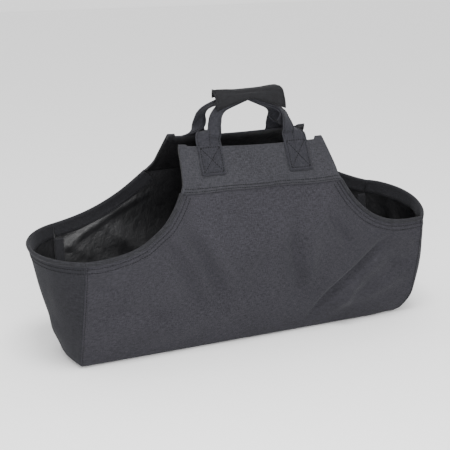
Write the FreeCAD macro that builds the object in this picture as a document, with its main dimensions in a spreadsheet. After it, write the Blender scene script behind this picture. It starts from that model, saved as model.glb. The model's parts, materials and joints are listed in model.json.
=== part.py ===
import FreeCAD, Part
import math
import os

import Sketcher

# Open garden tool bag: a boat-shaped trough of coated cloth whose long walls rise to a short
# top edge in the middle, with a pair of webbing handles held together by a wrap-round grip.
# Millimetres. +X along the bag, +Y to the back, +Z up; origin at the middle of the underside.
# Every piece of the front half is drawn once, and its twin is the same shape turned 180
# degrees about Z.

SIZES = {
    # bag outline
    "base_half_length": 286,
    "base_half_width": 50,
    "seam_half_length": 282,
    "seam_half_width": 90,
    "seam_height": 174,
    "band_low_half_length": 126,
    "band_low_half_width": 65,
    "band_low_height": 269,
    "top_half_length": 118,
    "top_half_width": 28,
    "top_height": 315,
    "rim_radius": 150,
    "end_base_radius": 212,
    "end_rim_radius": 97.5,
    # cloth, tapes and board
    "cloth": 2,
    "band_cloth": 1.5,
    "hem_cloth": 1,
    "hem_width": 24,
    "tape_cloth": 1,
    "tape_width": 16,
    "tape_inset": 6,
    "board_thickness": 3,
    "board_clearance": 5,
    "thread_radius": 0.4,
    "thread_stand_off": 0.56,
    "thread_gap": 1.2,
    "tab_stitch_inset": 4.5,
    "band_row_inset": 4,
    "band_row_rise": 1.4,
    "band_row_spacing": 3,
    # handles
    "strap_width": 39,
    "strap_cloth": 2.5,
    "strap_spacing": 142,
    "tab_length": 40,
    "strap_start_rise": 2,
    "grip_strap_width": 19,
    "grip_strap_thickness": 3.8,
    "grip_height": 378,
    "grip_centre_offset": 10.2,
    # wrap-round grip
    "wrap_half_length": 62,
    "wrap_half_width": 23,
    "wrap_cloth": 1.6,
    "wrap_top": 389,
    "wrap_middle_low": 373,
    "wrap_end_low": 356,
    "wrap_parting": 0.5,
    "closure_cloth": 1,
    "closure_width": 9,
    "closure_half_length": 30,
    # how far the outline cutters reach past the cloth
    "cutter_reach": 400,
}

SLANT = (SIZES["band_low_half_width"] - SIZES["top_half_width"]) / (
    SIZES["top_height"] - SIZES["band_low_height"]
)
SIZES["tab_low_height"] = SIZES["top_height"] - SIZES["tab_length"]
SIZES["tab_low_half_width"] = SIZES["top_half_width"] + SLANT * SIZES["tab_length"]
HEM_SHARE = 1 - SIZES["hem_width"] / SIZES["seam_height"]
SIZES["hem_low_height"] = HEM_SHARE * SIZES["seam_height"]
SIZES["hem_low_half_width"] = SIZES["base_half_width"] + HEM_SHARE * (
    SIZES["seam_half_width"] - SIZES["base_half_width"]
)
SIZES["hem_low_half_length"] = SIZES["base_half_length"] + HEM_SHARE * (
    SIZES["seam_half_length"] - SIZES["base_half_length"]
)
# the corner tapes stop a little below the hem
SIZES["tape_top_height"] = SIZES["hem_low_height"] - 3
SIZES["tape_top_half_width"] = SIZES["base_half_width"] + (
    SIZES["tape_top_height"] / SIZES["seam_height"]
) * (SIZES["seam_half_width"] - SIZES["base_half_width"])

doc = FreeCAD.newDocument("garden_tool_bag")
sheet = doc.addObject("Spreadsheet::Sheet", "sizes")
nodes = {}


def fill_sheet():
    for row, (alias, value) in enumerate(SIZES.items(), start=1):
        sheet.set(f"A{row}", alias)
        sheet.set(f"B{row}", f"{value:.6g}")
        sheet.setAlias(f"B{row}", alias)
    doc.recompute()


# ---- sums of sheet cells, such as "seam_half_width - cloth" ----


def number(terms):
    """The value of a sum of signed aliases."""
    total, sign = 0.0, 1
    for word in terms.split():
        if word in "+-":
            sign = 1 if word == "+" else -1
        else:
            total += sign * SIZES[word]
            sign = 1
    return total


def formula(terms):
    """The same sum as an expression over the sheet's cells."""
    words = [w if w in "+-" else f"sizes.{w}" for w in terms.split()]
    return " ".join(words)


def origin_feature(body, role):
    return next(f for f in body.Origin.OriginFeatures if f.Role == role)


def outline(body, name, plane, corners, arcs=None, height=None):
    """A closed sketch through corners given as pairs of sums. arcs maps an edge's number to
    (radius sum, the side that the arc bulges to: +1 left of the edge's direction, -1 right)."""
    arcs = arcs or {}
    sketch = body.newObject("Sketcher::SketchObject", name)
    sketch.AttachmentSupport = [(origin_feature(body, plane), "")]
    sketch.MapMode = "FlatFace"
    if height:
        sketch.setExpression("AttachmentOffset.Base.z", formula(height))
    points = [FreeCAD.Vector(number(x), number(y), 0) for x, y in corners]
    for n, start in enumerate(points):
        end = points[(n + 1) % len(points)]
        if n not in arcs:
            sketch.addGeometry(Part.LineSegment(start, end), False)
            continue
        radius, side = arcs[n]
        sketch.addGeometry(arc_between(start, end, number(radius), side), False)
    # a sketch's arc always runs anticlockwise, so one that bulges left starts at its far end
    ends = [(2, 1) if n in arcs and arcs[n][1] > 0 else (1, 2) for n in range(len(points))]
    for n, (x, y) in enumerate(corners):
        for kind, terms in (("DistanceX", x), ("DistanceY", y)):
            bind_distance(sketch, n, ends[n][0], kind, terms)
    for n in range(len(points)):
        after = (n + 1) % len(points)
        join = Sketcher.Constraint("Coincident", n, ends[n][1], after, ends[after][0])
        sketch.addConstraint(join)
    for n, (radius, _) in arcs.items():
        index = sketch.addConstraint(Sketcher.Constraint("Radius", n, number(radius)))
        sketch.setExpression(f"Constraints[{index}]", formula(radius))
    return sketch


def bind_distance(sketch, edge, end, kind, terms):
    """Holds one coordinate of an edge's end at a sum of sheet cells."""
    value = number(terms)
    if value < 0:
        index = sketch.addConstraint(Sketcher.Constraint(kind, edge, end, -1, 1, -value))
        sketch.setExpression(f"Constraints[{index}]", f"-({formula(terms)})")
    else:
        index = sketch.addConstraint(Sketcher.Constraint(kind, -1, 1, edge, end, value))
        sketch.setExpression(f"Constraints[{index}]", formula(terms))


def arc_between(start, end, radius, side):
    """The shorter arc of a radius from start to end, bulging to one side of the chord."""
    chord = end - start
    half = chord.Length / 2
    sagitta = radius - math.sqrt(radius**2 - half**2)
    across = FreeCAD.Vector(-chord.y, chord.x, 0).normalize() * side
    middle = (start + end) / 2 + across * sagitta
    return Part.Arc(end, middle, start) if side > 0 else Part.Arc(start, middle, end)


# ---- document objects ----


def new_body(name):
    body = doc.addObject("PartDesign::Body", name)
    body.Label = name
    nodes[name] = body
    return body


def turned(name, make, *words):
    """The twin of a piece on the other side: the same shape turned 180 degrees about Z."""
    body = make(name, *words)
    base = FreeCAD.Vector(-body.Placement.Base.x, 0, 0)
    body.setExpression("Placement.Base.x", None)
    body.Placement = FreeCAD.Placement(base, FreeCAD.Rotation(FreeCAD.Vector(0, 0, 1), 180))
    return body


def pad(body, sketch, length):
    """A pad of a sketch, equally to both sides of its plane."""
    feature = body.newObject("PartDesign::Pad", f"{body.Name}_pad")
    feature.Profile = sketch
    feature.SideType = "Symmetric"
    feature.setExpression("Length", length)
    doc.recompute()
    return feature


def cut_both_ends(body, name, corners, arcs):
    """Cuts an outline drawn in the XZ plane through the body, and its mirror image at -X."""
    before = body.Shape.Volume
    sketch = outline(body, f"{name}_sketch", "XZ_Plane", corners, arcs)
    pocket = body.newObject("PartDesign::Pocket", name)
    pocket.Profile = sketch
    pocket.SideType = "Symmetric"
    pocket.setExpression("Length", "2 * sizes.cutter_reach")
    doc.recompute()
    assert body.Shape.Volume < before, f"{name} cuts nothing"
    mirror = body.newObject("PartDesign::Mirrored", f"{name}_mirror")
    mirror.Originals = [pocket]
    mirror.MirrorPlane = (origin_feature(body, "YZ_Plane"), [""])
    body.Tip = mirror
    doc.recompute()


def loft(body, low, high):
    feature = body.newObject("PartDesign::AdditiveLoft", f"{body.Name}_loft")
    feature.Profile = low
    feature.Sections = [high]
    feature.Ruled = True
    doc.recompute()


def free_shape(name, shape, half_turn=False):
    """A piece with twisted or tapering faces, whose shape is made from the sheet's sizes. The
    back's twin of a front piece is the same shape after a half turn about Z."""
    feature = doc.addObject("Part::Feature", name)
    feature.Label = name
    feature.Shape = shape
    angle = 180 if half_turn else 0
    feature.Placement = FreeCAD.Placement(
        FreeCAD.Vector(), FreeCAD.Rotation(FreeCAD.Vector(0, 0, 1), angle)
    )
    nodes[name] = feature
    return feature


# ---- the bag's walls ----

WALL = [
    ("base_half_width", "zero"),
    ("seam_half_width", "seam_height"),
    ("band_low_half_width", "band_low_height"),
    ("top_half_width", "top_height"),
]


def wall_profile(wall, outside, inside):
    """The front wall's section in the YZ plane, between two offsets from its outer face."""
    outer = [(f"- {y} {outside}", z) for y, z in wall]
    inner = [(f"- {y} {inside}", z) for y, z in reversed(wall)]
    return outer + inner


def cut_above_rim(body):
    """Takes away what lies past the end seams and above the sagging rim."""
    corners = [
        ("base_half_length", "zero"),
        ("seam_half_length", "seam_height"),
        ("band_low_half_length", "band_low_height"),
        ("top_half_length", "top_height"),
        ("top_half_length", "cutter_reach"),
        ("cutter_reach", "cutter_reach"),
        ("cutter_reach", "- cloth"),
        ("base_half_length", "- cloth"),
    ]
    cut_both_ends(body, f"{body.Name}_rim", corners, {1: ("rim_radius", 1)})


def wall_panel(name):
    body = new_body(name)
    section = outline(body, f"{name}_section", "YZ_Plane", wall_profile(WALL, "", "+ cloth"))
    pad(body, section, "2 * sizes.base_half_length")
    cut_above_rim(body)
    return body


def end_panel(name):
    """One end of the trough, bulging more at the rim than at the floor (drawn at +X)."""
    body = new_body(name)
    low = outline(
        body,
        f"{name}_low",
        "XY_Plane",
        [
            ("base_half_length", "- base_half_width"),
            ("base_half_length + cloth", "- base_half_width"),
            ("base_half_length + cloth", "base_half_width"),
            ("base_half_length", "base_half_width"),
        ],
        {1: ("end_base_radius", -1), 3: ("end_base_radius", 1)},
    )
    high = outline(
        body,
        f"{name}_high",
        "XY_Plane",
        [
            ("seam_half_length", "- seam_half_width"),
            ("seam_half_length", "- seam_half_width - cloth"),
            ("seam_half_length", "seam_half_width + cloth"),
            ("seam_half_length", "seam_half_width"),
        ],
        {1: ("end_rim_radius + cloth", -1), 3: ("end_rim_radius", 1)},
        height="seam_height",
    )
    loft(body, low, high)
    return body


def floor_piece(name, inset, bottom, thickness):
    """A flat piece of the floor, with the ends' gentle curve."""
    body = new_body(name)
    left, right = f"- base_half_length + {inset}", f"base_half_length - {inset}"
    front, back = f"- base_half_width + {inset}", f"base_half_width - {inset}"
    sketch = outline(
        body,
        f"{name}_outline",
        "XY_Plane",
        [(left, front), (right, front), (right, back), (left, back)],
        {1: ("end_base_radius", -1), 3: ("end_base_radius", -1)},
        height=bottom,
    )
    feature = body.newObject("PartDesign::Pad", f"{name}_pad")
    feature.Profile = sketch
    feature.setExpression("Length", formula(thickness))
    doc.recompute()
    return body


def seam_tape(name):
    """A tape down the inside of a corner seam, on the long wall's cloth (drawn front, +X)."""
    body = new_body(name)
    # the tape runs from just over the floor board to just under the rim hem
    low, high = WALL[0], ("tape_top_half_width", "tape_top_height")
    section = outline(
        body,
        f"{name}_section",
        "YZ_Plane",
        [
            (f"- {low[0]} + cloth", "zero"),
            (f"- {high[0]} + cloth", high[1]),
            (f"- {high[0]} + cloth + tape_cloth", high[1]),
            (f"- {low[0]} + cloth + tape_cloth", "zero"),
        ],
    )
    pad(body, section, "sizes.tape_width")
    foot = outline(
        body,
        f"{name}_foot",
        "XZ_Plane",
        [
            ("- tape_width", "- cloth"),
            ("tape_width", "- cloth"),
            ("tape_width", "cloth + board_thickness + hem_cloth"),
            ("- tape_width", "cloth + board_thickness + hem_cloth"),
        ],
    )
    pocket = body.newObject("PartDesign::Pocket", f"{name}_foot_cut")
    pocket.Profile = foot
    pocket.SideType = "Symmetric"
    pocket.setExpression("Length", "2 * sizes.cutter_reach")
    place = "sizes.seam_half_length - sizes.tape_inset - sizes.tape_width / 2"
    body.setExpression("Placement.Base.x", place)
    doc.recompute()
    return body


def wall_hems(name):
    """The folded hem inside the front wall's two sagging rims, as two mirrored strips."""
    body = new_body(name)
    section = wall_profile(WALL[:3], "+ cloth", "+ cloth + hem_cloth")
    pad(body, outline(body, f"{name}_section", "YZ_Plane", section), "2 * sizes.base_half_length")
    cut_above_rim(body)
    # what is left below the strip: its lower edge is the rim's arc, moved down and inward
    cut_both_ends(
        body,
        f"{name}_low",
        [
            ("zero", "- cloth"),
            ("base_half_length", "- cloth"),
            ("base_half_length", "hem_low_height"),
            ("seam_half_length", "hem_low_height"),
            ("band_low_half_length - hem_width", "band_low_height + cloth"),
            ("zero", "band_low_height + cloth"),
        ],
        {3: ("hem_low_radius", 1)},
    )
    return body


def end_hem(name):
    """The folded hem inside an end panel's rim (drawn at +X)."""
    body = new_body(name)
    gap = "- hem_cloth"
    sketches = []
    for which, x, y, radius, height in (
        ("low", "hem_low_half_length", "hem_low_half_width", "hem_low_end_radius", "hem_low_height"),
        ("high", "seam_half_length", "seam_half_width", "end_rim_radius", "seam_height"),
    ):
        near = f"{y} - cloth - hem_cloth"
        inner = f"{y} - cloth - hem_cloth - hem_cloth"
        sketches.append(
            outline(
                body,
                f"{name}_{which}",
                "XY_Plane",
                [
                    (f"{x} {gap}", f"- {y} + cloth + hem_cloth + hem_cloth"),
                    (x, f"- {y} + cloth + hem_cloth"),
                    (x, near),
                    (f"{x} {gap}", inner),
                ],
                {1: (f"{radius} - cloth", -1), 3: (f"{radius} - cloth - hem_cloth", 1)},
                height=height,
            )
        )
    loft(body, *sketches)
    return body


# ---- the top edge ----


def top_band(name):
    """A strip folded over the top edge, covering both faces of the wall's leaning top."""
    body = new_body(name)
    low, high = "band_low_half_width", "top_half_width"
    section = [
        (f"- {low}", "band_low_height"),
        (f"- {low} - band_cloth", "band_low_height"),
        (f"- {high} - band_cloth", "top_height"),
        (f"- {high} - band_cloth", "top_height + band_cloth"),
        (f"- {high} + cloth + band_cloth", "top_height + band_cloth"),
        (f"- {high} + cloth + band_cloth", "top_height"),
        (f"- {low} + cloth + band_cloth", "band_low_height"),
        (f"- {low} + cloth", "band_low_height"),
        (f"- {high} + cloth", "top_height"),
        (f"- {high}", "top_height"),
    ]
    pad(body, outline(body, f"{name}_section", "YZ_Plane", section),
        "2 * sizes.band_low_half_length")
    cut_both_ends(
        body,
        f"{name}_slant",
        [
            ("band_low_half_length", "band_low_height"),
            ("top_half_length", "top_height"),
            ("top_half_length", "cutter_reach"),
            ("cutter_reach", "cutter_reach"),
            ("cutter_reach", "band_low_height"),
        ],
        {},
    )
    return body


def handle_tab(name, side):
    """The sewn-down foot of a strap, on the band's outer face (drawn at the front)."""
    body = new_body(name)
    low = "- tab_low_half_width - band_cloth"
    high = "- top_half_width - band_cloth"
    section = [
        (low, "tab_low_height"),
        (f"{low} - strap_cloth", "tab_low_height"),
        (f"{high} - strap_cloth", "top_height"),
        (high, "top_height"),
    ]
    pad(body, outline(body, f"{name}_section", "YZ_Plane", section), "sizes.strap_width")
    body.setExpression("Placement.Base.x", f"{side} * sizes.strap_spacing / 2")
    doc.recompute()
    return body


# ---- threads ----

def thread(start, end):
    """A run of thread that stops short of both its ends, so that crossing runs stay clear."""
    run = (end - start).normalize()
    start, end = start + run * SIZES["thread_gap"], end - run * SIZES["thread_gap"]
    return Part.makeCylinder(SIZES["thread_radius"], (end - start).Length, start, run)


def on_slope(x, height, stand_off):
    """A point on the front's leaning top, a given distance out of its cloth along Y."""
    y = SIZES["top_half_width"] + SLANT * (SIZES["top_height"] - height)
    return FreeCAD.Vector(x, -y - stand_off, height)


def tab_stitching():
    """A sewn box with a cross in it on each of the front's two handle feet."""
    inset = SIZES["tab_stitch_inset"]
    stand_off = SIZES["band_cloth"] + SIZES["strap_cloth"] + SIZES["thread_stand_off"]
    half = SIZES["strap_width"] / 2 - inset
    low = SIZES["tab_low_height"] + inset
    high = SIZES["top_height"] - inset
    boxes = []
    for side in (-1, 1):
        middle = side * SIZES["strap_spacing"] / 2
        corner = [
            on_slope(middle + x * half, height, stand_off)
            for x, height in ((-1, low), (1, low), (1, high), (-1, high))
        ]
        centre = (corner[0] + corner[2]) / 2
        boxes += [thread(corner[n - 1], corner[n]) for n in range(4)]
        boxes += [thread(centre, point) for point in corner]
    return Part.makeCompound(boxes)


def band_stitching():
    """Two rows of stitching along the lower edge of the front's top band."""
    rows = []
    stand_off = SIZES["band_cloth"] + SIZES["thread_stand_off"]
    half = SIZES["band_low_half_length"] - SIZES["band_row_inset"]
    lower = SIZES["band_low_height"] + SIZES["band_row_rise"]
    for height in (lower, lower + SIZES["band_row_spacing"]):
        rows.append(thread(on_slope(-half, height, stand_off), on_slope(half, height, stand_off)))
    return Part.makeCompound(rows)


# ---- handles ----

# the strap's route, as shares of its foot's distance from the middle and of its whole rise
SHOULDER = (0.90, 0.58)
BEND = (0.68, 0.97)
# the strap is fully folded this far along, from its foot to mid-grip
FOLDED_AT = 0.5
STEPS = 9


def smooth(t):
    t = min(max(t, 0.0), 1.0)
    return t * t * (3 - 2 * t)


def strap_section(share):
    """The front strap's section: share runs from 0 at the fold line to 1 at mid-grip.
    The strap lies flat against the cloth at its foot, turns on edge as it rises, and is folded
    double, lengthwise, along the grip."""
    foot_x = SIZES["strap_spacing"] / 2
    foot_z = SIZES["top_height"] + SIZES["strap_start_rise"]
    rise = SIZES["grip_height"] - foot_z
    route = [
        FreeCAD.Vector(foot_x, 0, foot_z),
        FreeCAD.Vector(SHOULDER[0] * foot_x, 0, foot_z + SHOULDER[1] * rise),
        FreeCAD.Vector(BEND[0] * foot_x, 0, foot_z + BEND[1] * rise),
        FreeCAD.Vector(0, 0, SIZES["grip_height"]),
    ]
    back = 1 - share
    weights = [back**3, 3 * back**2 * share, 3 * back * share**2, share**3]
    slopes = [-3 * back**2, 3 * back * (back - 2 * share), 3 * share * (2 * back - share),
              3 * share**2]
    centre, along = FreeCAD.Vector(), FreeCAD.Vector()
    for point, weight, slope in zip(route, weights, slopes):
        centre += point * weight
        along += point * slope
    foot_y = SIZES["top_half_width"] + SIZES["band_cloth"] + SIZES["strap_cloth"] / 2
    folded = smooth(share / FOLDED_AT)
    centre.y = -foot_y + (foot_y - SIZES["grip_centre_offset"]) * folded
    turn = math.pi / 2 * (1 - folded)
    width = FreeCAD.Vector(math.sin(turn), math.cos(turn), 0)
    through = along.cross(width).normalize()
    half_width = (SIZES["strap_width"] * (1 - folded) + SIZES["grip_strap_width"] * folded) / 2
    half_deep = (SIZES["strap_cloth"] * (1 - folded) + SIZES["grip_strap_thickness"] * folded) / 2
    return [
        centre + width * (a * half_width) + through * (b * half_deep)
        for a, b in ((-1, -1), (1, -1), (1, 1), (-1, 1))
    ]


def handle_loop():
    """One handle between its two fold lines (front handle)."""
    right = [strap_section(n / STEPS) for n in range(STEPS + 1)]
    left = [[FreeCAD.Vector(-p.x, p.y, p.z) for p in section] for section in reversed(right[:-1])]
    wires = [Part.makePolygon(section + section[:1]) for section in right + left]
    return Part.makeLoft(wires, True, True)


# ---- wrap-round grip ----


def wrap_low(x):
    """Height of the wrap's lower edge, arched over the hand."""
    share = abs(x) / SIZES["wrap_half_length"]
    return SIZES["wrap_middle_low"] + share * (SIZES["wrap_end_low"] - SIZES["wrap_middle_low"])


def sheet_through(section, places):
    """A solid through the same YZ section at several places along X."""
    wires = []
    for x in places:
        points = [FreeCAD.Vector(x, y, z) for y, z in section(x)]
        wires.append(Part.makePolygon(points + points[:1]))
    return Part.makeLoft(wires, True, True)


def grip_cover():
    """The sewn half of the wrap: over the back strap, down its back and under its middle."""
    cloth, top = SIZES["wrap_cloth"], SIZES["wrap_top"]
    near, far = SIZES["wrap_parting"], SIZES["wrap_half_width"]
    half = SIZES["wrap_half_length"]

    def section(x):
        low = wrap_low(x)
        return [(near, top), (far, top), (far, low), (far - cloth, low),
                (far - cloth, top - cloth), (near, top - cloth)]

    return sheet_through(section, (-half, 0, half))


def grip_flap():
    """The free half of the wrap: over the front strap and down its front."""
    cloth, top = SIZES["wrap_cloth"], SIZES["wrap_top"]
    near, far = -SIZES["wrap_parting"], -SIZES["wrap_half_width"]
    half = SIZES["wrap_half_length"]

    def section(x):
        low = wrap_low(x)
        return [(near, top), (far, top), (far, low), (far + cloth, low),
                (far + cloth, top - cloth), (near, top - cloth)]

    return sheet_through(section, (-half, 0, half))


def closure_strip(side):
    """A hook or loop tape on the inner face of one of the wrap's long edges."""
    half, width = SIZES["closure_half_length"], SIZES["closure_width"]
    face = side * (SIZES["wrap_half_width"] - SIZES["wrap_cloth"])
    inner = face - side * SIZES["closure_cloth"]

    def section(x):
        low = wrap_low(x) + 1
        return [(face, low), (face, low + width), (inner, low + width), (inner, low)]

    return sheet_through(section, (-half, 0, half))


# ---- everything ----


def add_derived_sizes():
    """Radii of the hem's lower arcs, and a named nought for the sketches."""
    SIZES["zero"] = 0
    drop = SIZES["hem_width"]
    SIZES["hem_low_radius"] = SIZES["rim_radius"] + drop
    half = SIZES["hem_low_half_width"]
    bulge = HEM_SHARE * bulge_of("end_rim_radius", "seam_half_width")
    bulge += (1 - HEM_SHARE) * bulge_of("end_base_radius", "base_half_width")
    SIZES["hem_low_end_radius"] = (half**2 + bulge**2) / (2 * bulge)


def bulge_of(radius, half):
    return SIZES[radius] - math.sqrt(SIZES[radius] ** 2 - SIZES[half] ** 2)


def build():
    add_derived_sizes()
    fill_sheet()
    wall_panel("front_panel")
    turned("back_panel", wall_panel)
    end_panel("right_end_panel")
    turned("left_end_panel", end_panel)
    floor_piece("base_panel", "cloth", "zero", "cloth")
    floor_piece("base_board", "board_clearance", "cloth", "board_thickness")
    seam_tape("front_right_seam_tape")
    turned("back_left_seam_tape", seam_tape)
    mirrored_tape("front_left_seam_tape", "back_right_seam_tape")
    wall_hems("front_rim_hems")
    turned("back_rim_hems", wall_hems)
    end_hem("right_end_rim_hem")
    turned("left_end_rim_hem", end_hem)
    top_band("front_top_band")
    turned("back_top_band", top_band)
    handle_tab("front_left_handle_foot", -1)
    handle_tab("front_right_handle_foot", 1)
    turned("back_left_handle_foot", handle_tab, 1)
    turned("back_right_handle_foot", handle_tab, -1)
    free_shape("front_foot_stitching", tab_stitching())
    free_shape("back_foot_stitching", tab_stitching(), half_turn=True)
    free_shape("front_band_stitching", band_stitching())
    free_shape("back_band_stitching", band_stitching(), half_turn=True)
    free_shape("front_handle_strap", handle_loop())
    free_shape("back_handle_strap", handle_loop(), half_turn=True)
    free_shape("grip_cover", grip_cover())
    free_shape("grip_flap", grip_flap())
    free_shape("grip_hook_tape", closure_strip(1))
    free_shape("grip_loop_tape", closure_strip(-1))


def mirrored_tape(front_left, back_right):
    """The other two corner tapes stand the same way round, at the other end of each wall."""
    body = seam_tape(front_left)
    body.setExpression(
        "Placement.Base.x", "-sizes.seam_half_length + sizes.tape_inset + sizes.tape_width / 2"
    )
    doc.recompute()
    twin = turned(back_right, seam_tape)
    twin.Placement.Base = FreeCAD.Vector(-twin.Placement.Base.x, 0, 0)


def save():
    doc.recompute()
    for item in doc.Objects:
        bad = {"Invalid", "Error"} & set(item.State)
        assert not bad, f"{item.Name}: {item.State}"
    os.makedirs("parts", exist_ok=True)
    for name, item in nodes.items():
        shape = item.Shape
        assert not shape.isNull() and shape.isValid(), f"{name} has no valid shape"
        assert shape.Solids, f"{name} has no solid"
        shape.exportStep(f"parts/{name}.step")
        box = shape.BoundBox
        print(f"{name}: {len(shape.Solids)} solid(s), {shape.Volume:.0f} mm3, "
              f"x {box.XMin:.1f} {box.XMax:.1f} y {box.YMin:.1f} {box.YMax:.1f} "
              f"z {box.ZMin:.1f} {box.ZMax:.1f}")


build()
save()
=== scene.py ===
"""Garden tool bag: the cloth shell, hems, bands, straps, wrap-round grip and stitching, made
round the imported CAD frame. Metres, +X along the bag, +Y to the back, +Z up."""

import json
import math

import bpy
import numpy as np
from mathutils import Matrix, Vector, noise


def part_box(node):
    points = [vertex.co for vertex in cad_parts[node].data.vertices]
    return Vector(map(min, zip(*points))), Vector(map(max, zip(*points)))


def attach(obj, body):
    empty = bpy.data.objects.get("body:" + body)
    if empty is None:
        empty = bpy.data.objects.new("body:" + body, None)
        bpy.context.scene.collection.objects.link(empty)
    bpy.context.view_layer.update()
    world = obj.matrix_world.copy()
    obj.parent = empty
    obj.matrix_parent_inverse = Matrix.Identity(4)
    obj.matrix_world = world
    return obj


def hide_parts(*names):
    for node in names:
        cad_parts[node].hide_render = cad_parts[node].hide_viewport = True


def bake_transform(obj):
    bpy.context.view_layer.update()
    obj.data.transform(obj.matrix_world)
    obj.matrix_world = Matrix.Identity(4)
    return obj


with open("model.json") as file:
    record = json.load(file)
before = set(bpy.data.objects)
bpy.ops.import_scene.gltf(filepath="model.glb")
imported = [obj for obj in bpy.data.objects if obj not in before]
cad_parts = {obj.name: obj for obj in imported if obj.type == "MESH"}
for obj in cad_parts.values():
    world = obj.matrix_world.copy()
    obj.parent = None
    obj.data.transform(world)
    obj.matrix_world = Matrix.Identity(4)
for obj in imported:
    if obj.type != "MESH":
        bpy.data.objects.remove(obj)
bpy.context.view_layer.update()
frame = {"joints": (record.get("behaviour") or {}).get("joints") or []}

MM = 0.001


# ---- driving sizes, from the frame

panel_low, panel_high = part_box("front_panel")
end_low, end_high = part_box("right_end_panel")
band_low, band_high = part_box("front_top_band")
foot_low, foot_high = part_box("front_right_handle_foot")
grip_low, grip_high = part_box("grip_cover")

CLOTH = 2 * MM
BASE_X = panel_high[0]
BASE_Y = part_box("base_panel")[1][1] + CLOTH
SEAM_Z = end_high[2]
SEAM_X = end_low[0]
SEAM_Y = -panel_low[1]
END_X = end_high[0] - CLOTH
BAND_X = band_high[0]
BAND_Z = band_low[2]
BAND_Y = -band_low[1] - 1.5 * MM
TOP_Z = panel_high[2]
TOP_X = BAND_X - 8 * MM
TOP_Y = -panel_high[1] + CLOTH
FOOT_X = (foot_low[0] + foot_high[0]) / 2
STRAP_WIDTH = foot_high[0] - foot_low[0]
FOOT_Z = foot_low[2]
GRIP_TOP = grip_high[2]
GRIP_HALF = grip_high[0]

hinges = {joint["name"]: Vector(joint["pos_m"]) for joint in frame["joints"]}
FRONT_HINGE = hinges["front_handle_swing"]
BACK_HINGE = hinges["back_handle_swing"]


# ---- small maths


def smooth(t):
    t = np.clip(t, 0.0, 1.0)
    return t * t * (3 - 2 * t)


def bump(t):
    """A soft hump: 1 at 0, falling to nothing by about 2.5."""
    return np.exp(-np.square(t))


def curve_through(knots, values, t):
    """A smooth curve through values at rising knots (Catmull-Rom, by differences)."""
    knots, values = np.array(knots, float), np.array(values, float)
    slopes = np.gradient(values, knots)
    t = np.clip(t, knots[0], knots[-1])
    n = np.clip(np.searchsorted(knots, t, side="right") - 1, 0, len(knots) - 2)
    step = knots[n + 1] - knots[n]
    s = (t - knots[n]) / step
    return (
        (2 * s**3 - 3 * s**2 + 1) * values[n]
        + (s**3 - 2 * s**2 + s) * step * slopes[n]
        + (3 * s**2 - 2 * s**3) * values[n + 1]
        + (s**3 - s**2) * step * slopes[n + 1]
    )


def unit(vectors):
    """Vectors along the last axis, brought to length 1."""
    return vectors / np.maximum(np.linalg.norm(vectors, axis=-1, keepdims=True), 1e-12)


def run_along(path):
    """Distance along a line of points, from its start to each of them."""
    steps = np.linalg.norm(np.diff(path, axis=0), axis=1)
    return np.pad(np.cumsum(steps), (1, 0))


def rough(points, size, seed):
    """Smooth noise of about -1 to 1 at each point, with features of a given size."""
    place = Vector((seed * 7.31, seed * 3.17, seed * 5.53))
    return np.array([noise.noise(Vector(p) / size + place) for p in points])


# ---- meshes


def mesh_object(name, points, faces):
    mesh = bpy.data.meshes.new(name)
    mesh.from_pydata(points, [], faces)
    mesh.shade_smooth()
    made = bpy.data.objects.new(name, mesh)
    bpy.context.scene.collection.objects.link(made)
    return made


def grid_object(name, points, flip=False):
    """A sheet through a grid of points, rows by columns, smooth shaded."""
    rows, columns = points.shape[:2]
    number = np.arange(rows * columns).reshape(rows, columns)
    corners = (number[:-1, :-1], number[:-1, 1:], number[1:, 1:], number[1:, :-1])
    faces = np.column_stack([corner.ravel() for corner in corners])
    if flip:
        faces = faces[:, ::-1]
    return mesh_object(name, points.reshape(-1, 3).tolist(), faces.tolist())


def lengths_along(points):
    """Flat cloth coordinates of a grid: distance along its rows and along its columns."""
    across = np.linalg.norm(np.diff(points, axis=1), axis=2)
    along = np.linalg.norm(np.diff(points, axis=0), axis=2)
    u = np.pad(np.cumsum(across, axis=1), ((0, 0), (1, 0)))
    u -= u[:, u.shape[1] // 2][:, None]
    v = np.pad(np.cumsum(along, axis=0), ((1, 0), (0, 0)))
    return np.stack([u, v], axis=2)


def thicken(made, thickness, offset=-1.0, inner_slot=0):
    """Gives a sheet its thickness, with the reverse face in another material slot."""
    shell = made.modifiers.new("thickness", "SOLIDIFY")
    shell.thickness = thickness
    shell.offset = offset
    shell.material_offset = inner_slot
    bpy.context.view_layer.update()
    graph = bpy.context.evaluated_depsgraph_get()
    final = bpy.data.meshes.new_from_object(made.evaluated_get(graph))
    made.modifiers.clear()
    made.data = final
    made.data.shade_smooth()


def dress(made, *materials):
    for material in materials:
        made.data.materials.append(material)


def cloth_object(name, points, *materials, flip=False):
    """A sheet of cloth, before it gets its thickness. It keeps where each point lay on the flat
    cloth, in metres, for the weave."""
    made = grid_object(name, points, flip=flip)
    dress(made, *materials)
    flat = np.zeros((len(made.data.vertices), 3))
    flat[:, :2] = lengths_along(points).reshape(-1, 2)
    layer = made.data.attributes.new("cloth", "FLOAT_VECTOR", "POINT")
    layer.data.foreach_set("vector", flat.ravel())
    return made


# ---- materials


def fill(tree, node, inputs):
    """Sets a node's inputs, by name or number, to values or to other nodes' outputs."""
    for name, value in inputs.items():
        if isinstance(value, bpy.types.NodeSocket):
            tree.links.new(value, node.inputs[name])
        elif value is not None:
            node.inputs[name].default_value = value


def add_node(tree, kind, inputs, **settings):
    """Adds a node and gives its outputs."""
    node = tree.nodes.new("ShaderNode" + kind)
    for name, value in settings.items():
        setattr(node, name, value)
    fill(tree, node, inputs)
    return node.outputs


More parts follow.
